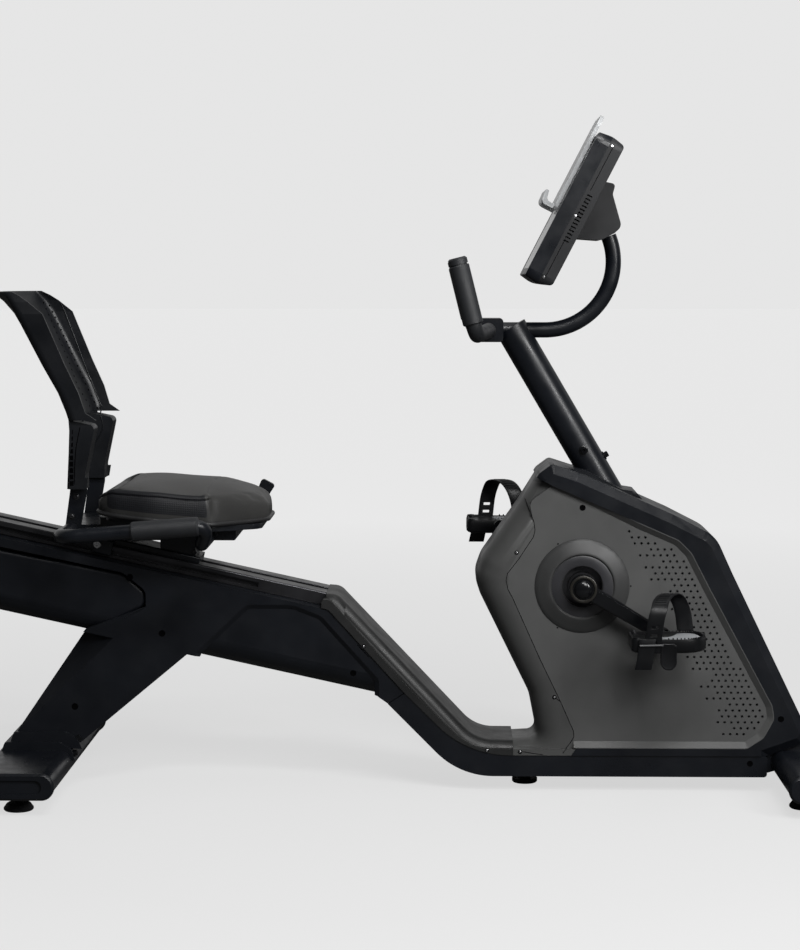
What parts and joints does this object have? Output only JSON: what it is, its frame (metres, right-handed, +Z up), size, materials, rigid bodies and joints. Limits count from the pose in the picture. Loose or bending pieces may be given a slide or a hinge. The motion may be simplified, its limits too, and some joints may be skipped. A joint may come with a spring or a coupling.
{
  "type": "recumbent exercise bike",
  "caption": "Stationary recumbent exercise bike with a sliding seat and backrest, step-through beam, enclosed drive, pedals with straps, mast, handlebar and console.",
  "frame": {"origin": "on the floor, at the middle of the machine's length and width", "axes": "+X forward from the seat to the console, +Y to the rider's left, +Z up"},
  "size_m": [1.646, 0.622, 1.2552],
  "materials": {
    "frame_black": "satin powder coat",
    "cover_black": "fine grained moulding",
    "housing_grey": "charcoal moulding",
    "rail_aluminium": "drawn, satin",
    "steel_dark": "machined",
    "crank_steel": "gloss black",
    "grip_foam": "closed foam",
    "foot_rubber": "matt",
    "pedal_plastic": "moulded",
    "strap_rubber": "moulded strap",
    "seat_fabric": "black vinyl and mesh",
    "back_plastic": "perforated moulding",
    "screen_glass": "screen face",
    "tray_clear": "clear plastic"
  },
  "bodies": {
    "frame": {"seat_rail": "rail_aluminium", "rear_beam": "frame_black", "beam_cover_right": "cover_black", "beam_cover_left": "cover_black", "low_beam": "frame_black", "beam_cap": "housing_grey", "step_cover": "housing_grey", "centre_foot": "foot_rubber", "rear_stabilizer": "frame_black", "rear_foot": "cover_black", "rear_leg": "frame_black", "rear_end_caps": "cover_black", "levelers": "foot_rubber", "housing_rear": "housing_grey", "housing_band": "cover_black", "housing_right": "housing_grey", "housing_left": "housing_grey", "dish_right": "housing_grey", "dish_left": "housing_grey", "drive_frame": "steel_dark", "flywheel": "steel_dark", "mast_collar": "cover_black", "neck_tube": "frame_black", "mast": "frame_black", "handlebar": "frame_black", "handlebar_clamp": "cover_black", "grips": "grip_foam", "console_front": "cover_black", "screen": "screen_glass", "console_back": "cover_black", "console_mount": "cover_black", "media_tray": "tray_clear", "front_stabilizer": "frame_black", "front_foot": "cover_black", "front_end_caps": "cover_black", "wheel_forks": "frame_black"},
    "seat": {"seat_carriage": "frame_black", "seat_base": "frame_black", "seat_pan": "cover_black", "seat_cushion": "seat_fabric", "side_handles": "frame_black", "side_grips": "grip_foam", "back_posts": "frame_black", "back_shell": "back_plastic", "adjust_lever": "cover_black"},
    "crank": {"crank_axle": "steel_dark", "crank_right": "crank_steel", "crank_left": "crank_steel"},
    "pedal_right": {"pedal_right": "pedal_plastic", "strap_right": "strap_rubber"},
    "pedal_left": {"pedal_left": "pedal_plastic", "strap_left": "strap_rubber"},
    "wheel_right": {"wheel_right": "foot_rubber"},
    "wheel_left": {"wheel_left": "foot_rubber"}
  },
  "joints": [
    {"name": "seat_slide", "type": "slide", "parent": "frame", "child": "seat", "axis": [0.9769, 0, -0.2139], "range_m": [-0.15, 0.16]},
    {"name": "crank_spin", "type": "hinge", "parent": "frame", "child": "crank", "pos_m": [0.343, 0, 0.389], "axis": [0, 1, 0], "continuous": true},
    {"name": "pedal_right_spin", "type": "hinge", "parent": "crank", "child": "pedal_right", "pos_m": [0.48948, -0.188, 0.30272], "axis": [0, 1, 0], "continuous": true},
    {"name": "pedal_left_spin", "type": "hinge", "parent": "crank", "child": "pedal_left", "pos_m": [0.19652, 0.188, 0.47528], "axis": [0, 1, 0], "continuous": true},
    {"name": "wheel_right_spin", "type": "hinge", "parent": "frame", "child": "wheel_right", "pos_m": [0.803, -0.266, 0.024], "axis": [0, 1, 0], "continuous": true},
    {"name": "wheel_left_spin", "type": "hinge", "parent": "frame", "child": "wheel_left", "pos_m": [0.803, 0.266, 0.024], "axis": [0, 1, 0], "continuous": true}
  ]
}
